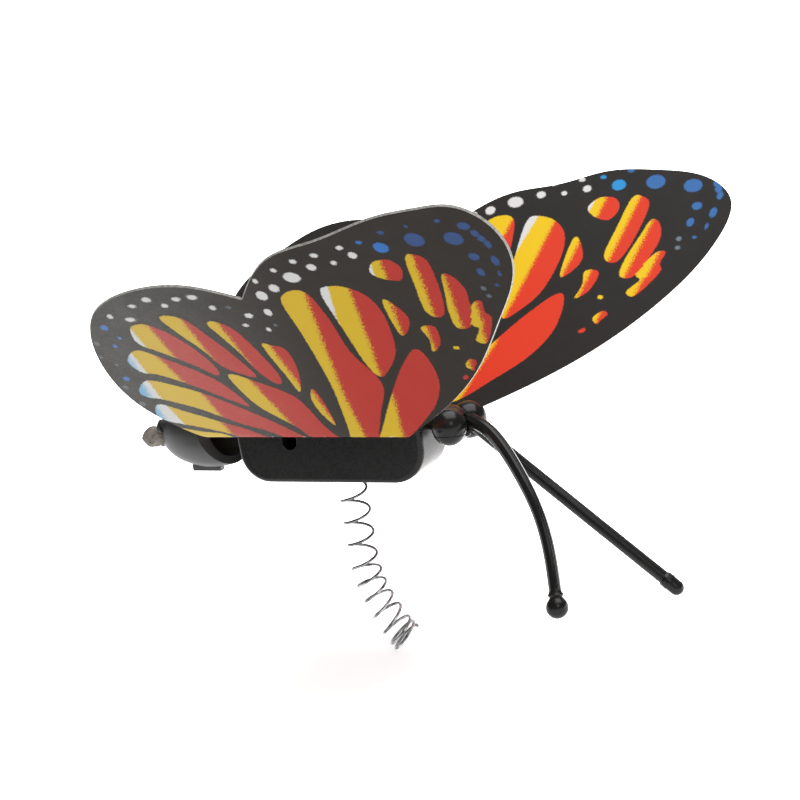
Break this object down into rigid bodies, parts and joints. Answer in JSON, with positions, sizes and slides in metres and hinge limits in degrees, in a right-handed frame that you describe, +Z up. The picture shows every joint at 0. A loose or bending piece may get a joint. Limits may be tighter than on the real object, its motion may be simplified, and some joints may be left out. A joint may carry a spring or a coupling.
{
  "type": "spring-mounted butterfly ornament",
  "caption": "Small butterfly ornament: folded printed film wings on a black moulded body with drooping feelers, carried on a thin coil spring so that it bobs and flutters.",
  "frame": {"origin": "lower end of the coil spring, on the spring's centre line, where a stake, clip or hand holds it", "axes": "+X towards the butterfly's head, +Y towards its left wing, +Z up along the upper part of the spring"},
  "size_m": [0.0616, 0.0527, 0.0535],
  "materials": {
    "black_plastic": "satin gloss, as moulded",
    "scuffed_plastic": "rough, dusty",
    "printed_film": "printed, fine matt grain",
    "spring_wire": "bright drawn wire"
  },
  "bodies": {
    "spring_foot_coils": {"spring_grip_coils": "spring_wire", "spring_lower_coils": "spring_wire"},
    "spring_middle": {"spring_middle_coils": "spring_wire"},
    "spring_top": {"spring_upper_coils": "spring_wire"},
    "butterfly_body": {"housing_tub": "black_plastic", "thorax_cover": "black_plastic", "film_waist": "printed_film", "rear_pin": "black_plastic", "front_pin": "black_plastic", "spring_peg": "black_plastic", "spring_entry_coil": "spring_wire", "spring_peg_coils": "spring_wire", "head_shell": "black_plastic", "lower_head": "black_plastic", "right_eye": "black_plastic", "left_eye": "black_plastic", "right_antenna": "black_plastic", "left_antenna": "black_plastic", "abdomen_shell": "black_plastic", "tail_tip": "scuffed_plastic"},
    "right_wing_panel": {"right_wing": "printed_film"},
    "left_wing_panel": {"left_wing": "printed_film"}
  },
  "joints": [
    {"name": "bob", "type": "slide", "parent": "spring_foot_coils", "child": "spring_middle", "axis": [0, 0, 1], "range_m": [-0.003, 0.003], "stiffness_N_per_m": 18, "deforming": ["spring_lower_coils"]},
    {"name": "nod", "type": "hinge", "parent": "spring_middle", "child": "spring_top", "pos_m": [-0.004, 0, 0.0133], "axis": [0, 1, 0], "range_deg": [-12, 12], "stiffness_Nm_per_rad": 0.006},
    {"name": "sway", "type": "hinge", "parent": "spring_top", "child": "butterfly_body", "pos_m": [-0.004, 0, 0.0183], "axis": [1, 0, 0], "range_deg": [-12, 12], "stiffness_Nm_per_rad": 0.006},
    {"name": "right_wing_flap", "type": "hinge", "parent": "butterfly_body", "child": "right_wing_panel", "pos_m": [-0.0055, -0.0055, 0.0245], "axis": [-1, 0, 0], "range_deg": [-60, 25], "stiffness_Nm_per_rad": 0.0015},
    {"name": "left_wing_flap", "type": "hinge", "parent": "butterfly_body", "child": "left_wing_panel", "pos_m": [-0.0055, 0.0055, 0.0245], "axis": [0.9945, 0, -0.1045], "range_deg": [-45, 40], "stiffness_Nm_per_rad": 0.0015}
  ]
}
